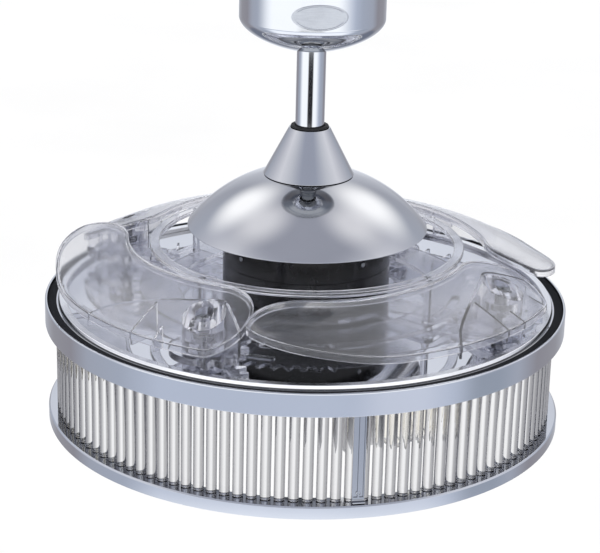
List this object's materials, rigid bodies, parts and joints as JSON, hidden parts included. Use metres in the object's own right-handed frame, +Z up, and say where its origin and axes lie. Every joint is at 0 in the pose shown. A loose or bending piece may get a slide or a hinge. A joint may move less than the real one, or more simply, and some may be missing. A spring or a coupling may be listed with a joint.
{
  "type": "retractable blade ceiling fan with drum lamp",
  "caption": "Ceiling fan on a downrod whose clear blades fold round the motor and swing out when it turns, over a drum lamp ringed with glass rods.",
  "frame": {"origin": "centre of the hanger bracket's top face, on the ceiling", "axes": "+Z up along the fan's axis, into the ceiling; -Y towards the picture's viewer, +X to the viewer's right"},
  "size_m": [0.464, 0.464, 0.4109],
  "materials": {
    "steel": "zinc-plated, satin",
    "rubber": "matte black",
    "ball_plastic": "matte black nylon",
    "chrome": "bright polished plating",
    "satin_nickel": "satin plating",
    "core_iron": "varnished laminations",
    "copper_winding": "enamelled copper wire, lacquered",
    "mirror": "mirror-polished sheet",
    "glass_rod": "clear, fire-polished",
    "socket_plastic": "heat-resistant black",
    "lamp_glass": "coated lamp glass",
    "motor_black": "semi-gloss black",
    "magnet": "sintered, dark",
    "clear_plastic": "clear moulded polycarbonate with a faint lavender tint"
  },
  "bodies": {
    "root": {"ceiling_bracket": "steel", "hanger_ball": "ball_plastic", "hanger_ball_pin": "steel", "canopy": "chrome", "canopy_grommet": "rubber", "canopy_screw_right": "steel", "canopy_screw_left": "steel", "downrod": "chrome", "coupling_cover": "satin_nickel", "coupling_seal": "rubber", "motor_yoke": "steel", "yoke_pin": "steel", "motor_dome": "satin_nickel", "motor_shaft": "steel", "shaft_nut": "steel", "stator_core": "core_iron", "stator_winding_upper": "copper_winding", "stator_winding_lower": "copper_winding", "mirror_plate": "mirror", "top_band": "chrome", "inner_trim_ring": "chrome", "glass_rods": "glass_rod", "bottom_ring": "chrome", "cage_post_1": "chrome", "cage_post_2": "chrome", "cage_post_3": "chrome", "lamp_holder_1": "socket_plastic", "lamp_holder_2": "socket_plastic", "lamp_holder_3": "socket_plastic", "lamp_1": "lamp_glass", "lamp_2": "lamp_glass", "lamp_3": "lamp_glass"},
    "rotor": {"bearing_lower": "steel", "bearing_upper": "steel", "motor_shell_lower": "motor_black", "motor_shell_upper": "motor_black", "magnet_ring": "magnet", "blade_carrier": "clear_plastic", "carrier_rim": "clear_plastic", "pivot_pin_1": "steel", "pivot_pin_2": "steel", "pivot_pin_3": "steel", "pivot_pin_4": "steel", "return_spring_1": "steel", "return_spring_2": "steel", "return_spring_3": "steel", "return_spring_4": "steel"},
    "sync_ring": {"sync_ring": "clear_plastic"},
    "blade_1": {"blade_1": "clear_plastic", "blade_pinion_1": "clear_plastic"},
    "blade_2": {"blade_2": "clear_plastic", "blade_pinion_2": "clear_plastic"},
    "blade_3": {"blade_3": "clear_plastic", "blade_pinion_3": "clear_plastic"},
    "blade_4": {"blade_4": "clear_plastic", "blade_pinion_4": "clear_plastic"}
  },
  "joints": [
    {"name": "rotor_spin", "type": "hinge", "parent": "root", "child": "rotor", "pos_m": [0, 0, 0], "axis": [0, 0, 1], "continuous": true},
    {"name": "blade_1_swing", "type": "hinge", "parent": "rotor", "child": "blade_1", "pos_m": [-0.08154, -0.16718, 0], "axis": [0, 0, 1], "range_deg": [0, 126], "stiffness_Nm_per_rad": 0.05, "springref_deg": -28.65},
    {"name": "blade_2_swing", "type": "hinge", "parent": "rotor", "child": "blade_2", "pos_m": [0.16718, -0.08154, 0], "axis": [0, 0, 1], "range_deg": [0, 126]},
    {"name": "blade_3_swing", "type": "hinge", "parent": "rotor", "child": "blade_3", "pos_m": [0.08154, 0.16718, 0], "axis": [0, 0, 1], "range_deg": [0, 126]},
    {"name": "blade_4_swing", "type": "hinge", "parent": "rotor", "child": "blade_4", "pos_m": [-0.16718, 0.08154, 0], "axis": [0, 0, 1], "range_deg": [0, 126]},
    {"name": "sync_turn", "type": "hinge", "parent": "rotor", "child": "sync_ring", "pos_m": [0, 0, 0], "axis": [0, 0, 1], "range_deg": [-28.3, 0]}
  ],
  "couplings": [
    {"joint": "blade_2_swing", "follows": "blade_1_swing", "ratio": 1},
    {"joint": "blade_3_swing", "follows": "blade_1_swing", "ratio": 1},
    {"joint": "blade_4_swing", "follows": "blade_1_swing", "ratio": 1},
    {"joint": "sync_turn", "follows": "blade_1_swing", "ratio": -0.22368}
  ]
}
